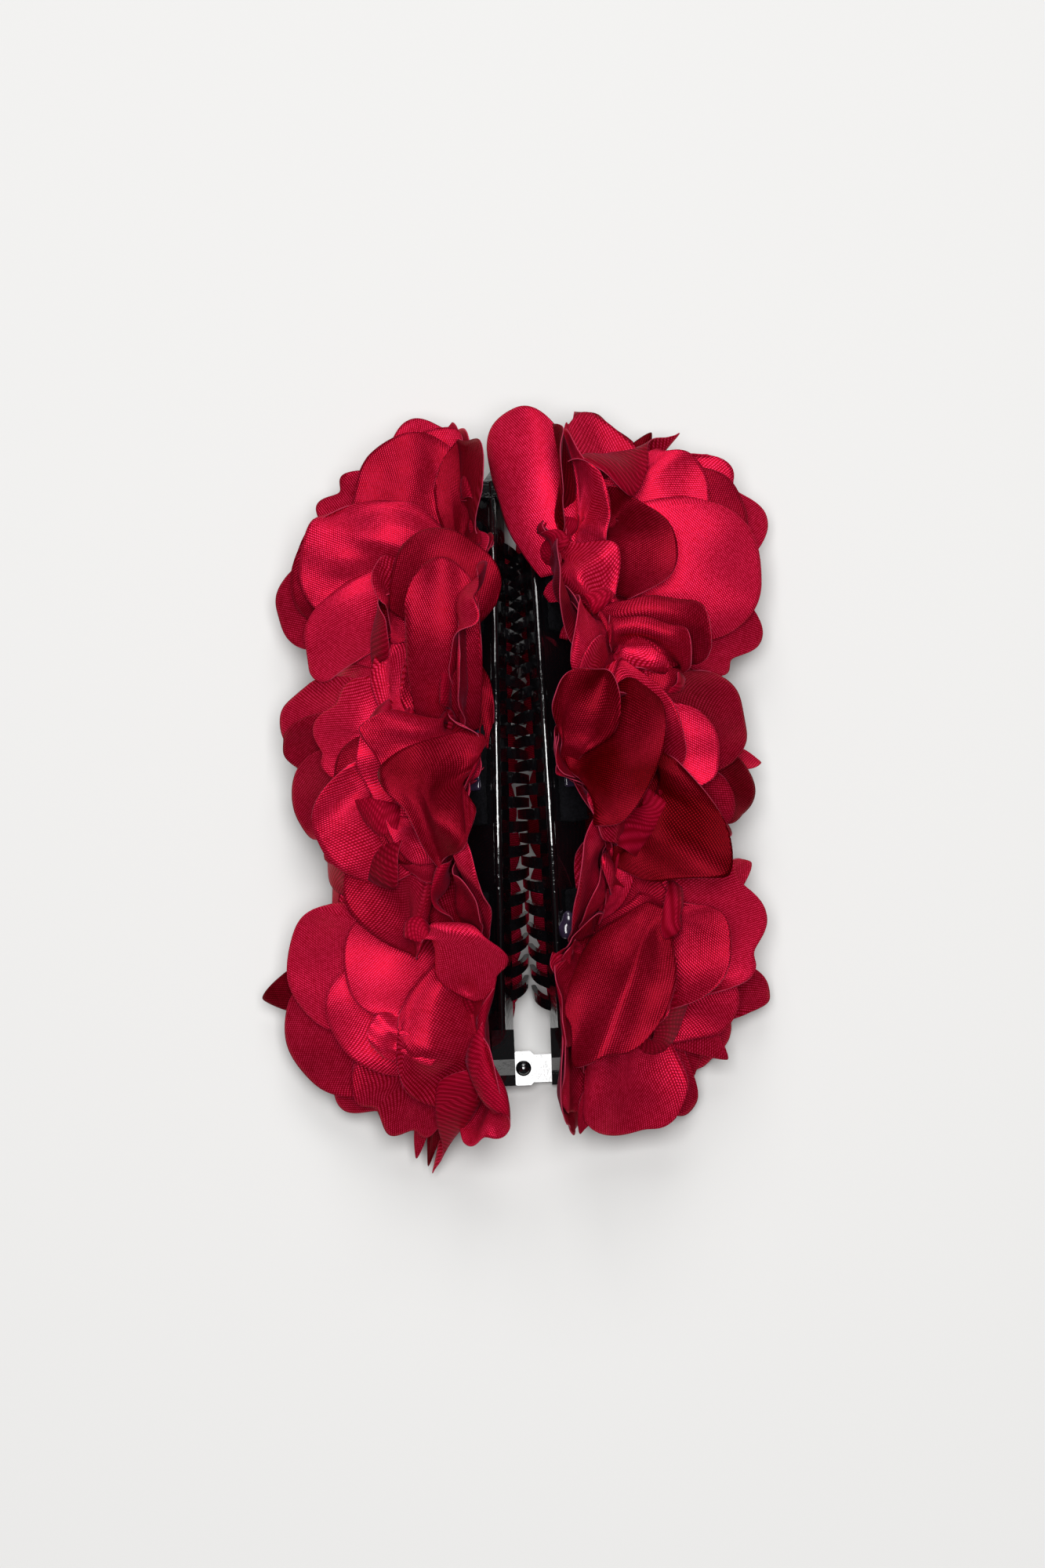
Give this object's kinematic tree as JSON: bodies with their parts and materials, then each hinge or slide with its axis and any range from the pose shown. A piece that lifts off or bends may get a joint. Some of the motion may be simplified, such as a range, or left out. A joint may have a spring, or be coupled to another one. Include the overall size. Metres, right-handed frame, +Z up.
{
  "type": "flower hair clip",
  "caption": "Long arched hair clip of the banana kind: two toothed combs riveted at one end and latched at the other, covered in layered satin flowers.",
  "frame": {"origin": "middle of the closed clip's envelope in X and Y, on the surface that it lies on, arch upwards", "axes": "+X towards the right comb, +Y along the clip from its hinge towards its latch, +Z up, away from the teeth"},
  "size_m": [0.0974, 0.1436, 0.0495],
  "materials": {
    "comb_plastic": "glossy black moulded plastic",
    "rivet": "black enamelled steel",
    "felt": "black needled felt",
    "glue": "clear hot-melt glue",
    "thread": "twisted polyester thread",
    "satin": "burgundy polyester satin with heat-cut edges"
  },
  "bodies": {
    "left_half": {"left_comb": "comb_plastic", "hinge_pin": "rivet", "left_latch_felt_pad": "felt", "left_latch_glue": "glue", "left_latch_flower_stitches": "thread", "left_latch_flower_outer_petals": "satin", "left_latch_flower_lower_petals": "satin", "left_latch_flower_upper_petals": "satin", "left_latch_flower_inner_petals": "satin", "left_middle_felt_pad": "felt", "left_middle_glue": "glue", "left_middle_flower_stitches": "thread", "left_middle_flower_outer_petals": "satin", "left_middle_flower_lower_petals": "satin", "left_middle_flower_upper_petals": "satin", "left_middle_flower_inner_petals": "satin", "left_hinge_felt_pad": "felt", "left_hinge_glue": "glue", "left_hinge_flower_stitches": "thread", "left_hinge_flower_outer_petals": "satin", "left_hinge_flower_lower_petals": "satin", "left_hinge_flower_upper_petals": "satin", "left_hinge_flower_inner_petals": "satin"},
    "right_half": {"right_comb": "comb_plastic", "right_latch_felt_pad": "felt", "right_latch_glue": "glue", "right_latch_flower_stitches": "thread", "right_latch_flower_outer_petals": "satin", "right_latch_flower_lower_petals": "satin", "right_latch_flower_upper_petals": "satin", "right_latch_flower_inner_petals": "satin", "right_middle_felt_pad": "felt", "right_middle_glue": "glue", "right_middle_flower_stitches": "thread", "right_middle_flower_outer_petals": "satin", "right_middle_flower_lower_petals": "satin", "right_middle_flower_upper_petals": "satin", "right_middle_flower_inner_petals": "satin", "right_hinge_felt_pad": "felt", "right_hinge_glue": "glue", "right_hinge_flower_stitches": "thread", "right_hinge_flower_outer_petals": "satin", "right_hinge_flower_lower_petals": "satin", "right_hinge_flower_upper_petals": "satin", "right_hinge_flower_inner_petals": "satin"}
  },
  "joints": [
    {"name": "clip_opening", "type": "hinge", "parent": "left_half", "child": "right_half", "pos_m": [-0.00185, -0.0519, 0], "axis": [0, 0, -1], "range_deg": [0, 34]}
  ]
}
